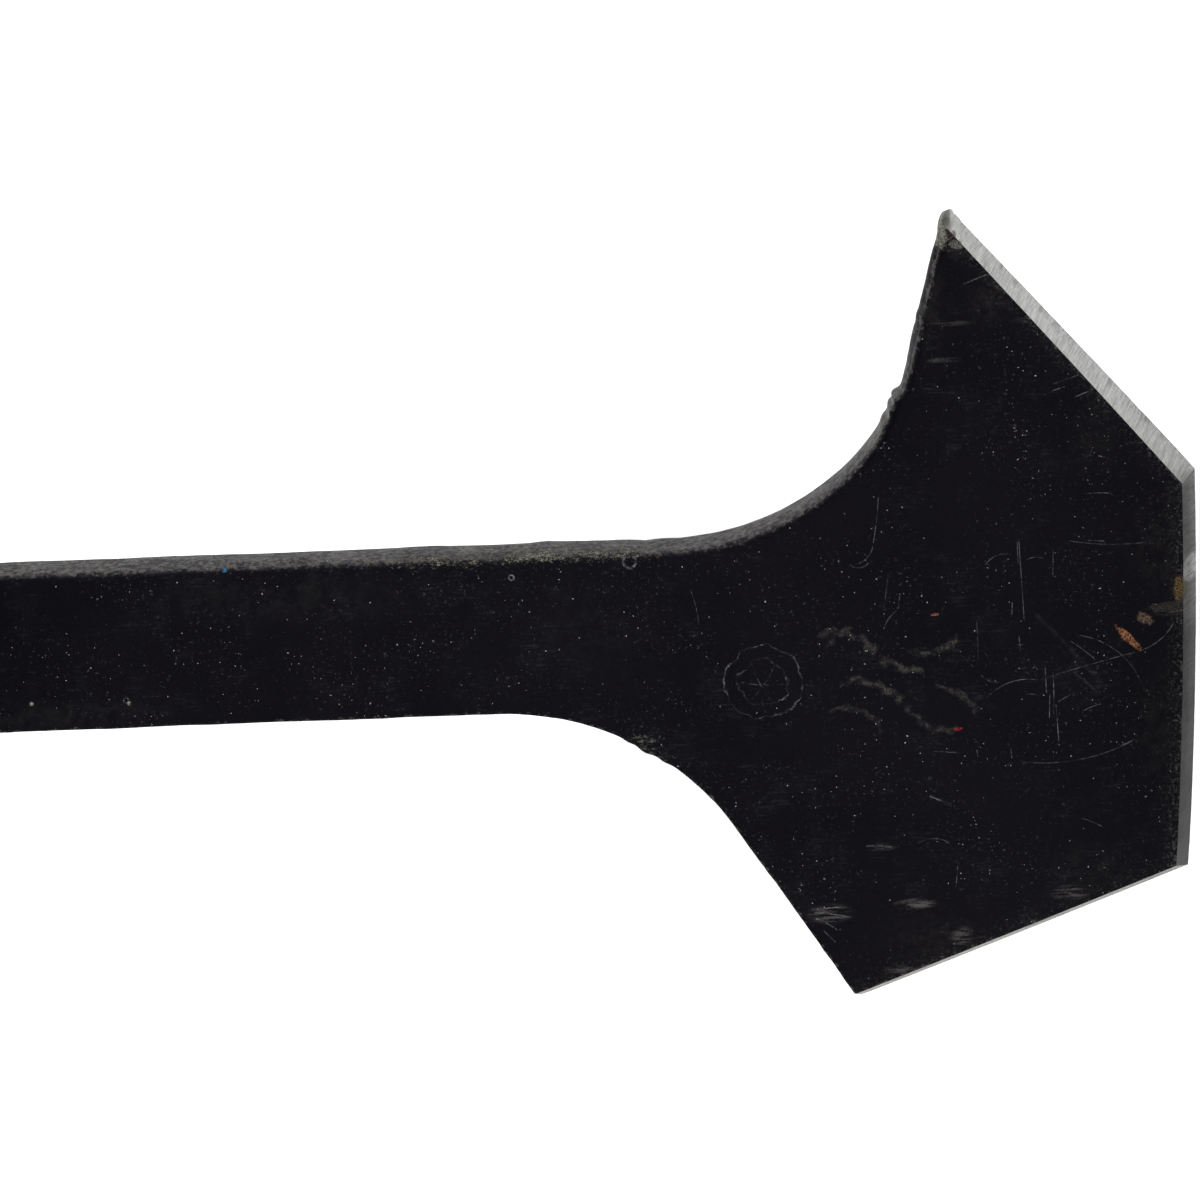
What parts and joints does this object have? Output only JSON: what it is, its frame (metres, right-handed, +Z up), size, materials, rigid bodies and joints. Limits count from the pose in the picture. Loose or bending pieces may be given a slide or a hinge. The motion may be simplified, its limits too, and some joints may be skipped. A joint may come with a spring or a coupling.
{
  "type": "brick bolster chisel",
  "caption": "Long-reach brick bolster: blackened flat-bar chisel with a lopsided fishtail head ground on three edges, and a ribbed hand grip with a mushroom guard.",
  "frame": {"origin": "where the bar's centre line meets the line of the front cutting edge", "axes": "+Z up the bar from the cutting edge to the striking face, -Y out of the front face on which the bevels are ground, +X towards the longer tip of the head"},
  "size_m": [0.1, 0.049, 0.3],
  "materials": {
    "black_steel": "worn satin black on forged steel, with bright ground bevels",
    "core_plastic": "fine moulded texture",
    "grip_rubber": "soft matt moulding",
    "spring_steel": "dull tempered steel"
  },
  "bodies": {
    "root": {"chisel_body": "black_steel", "grip_core": "core_plastic", "grip_cover": "grip_rubber", "hand_guard": "grip_rubber", "retaining_plate": "spring_steel", "spring_pin": "spring_steel"}
  },
  "joints": []
}
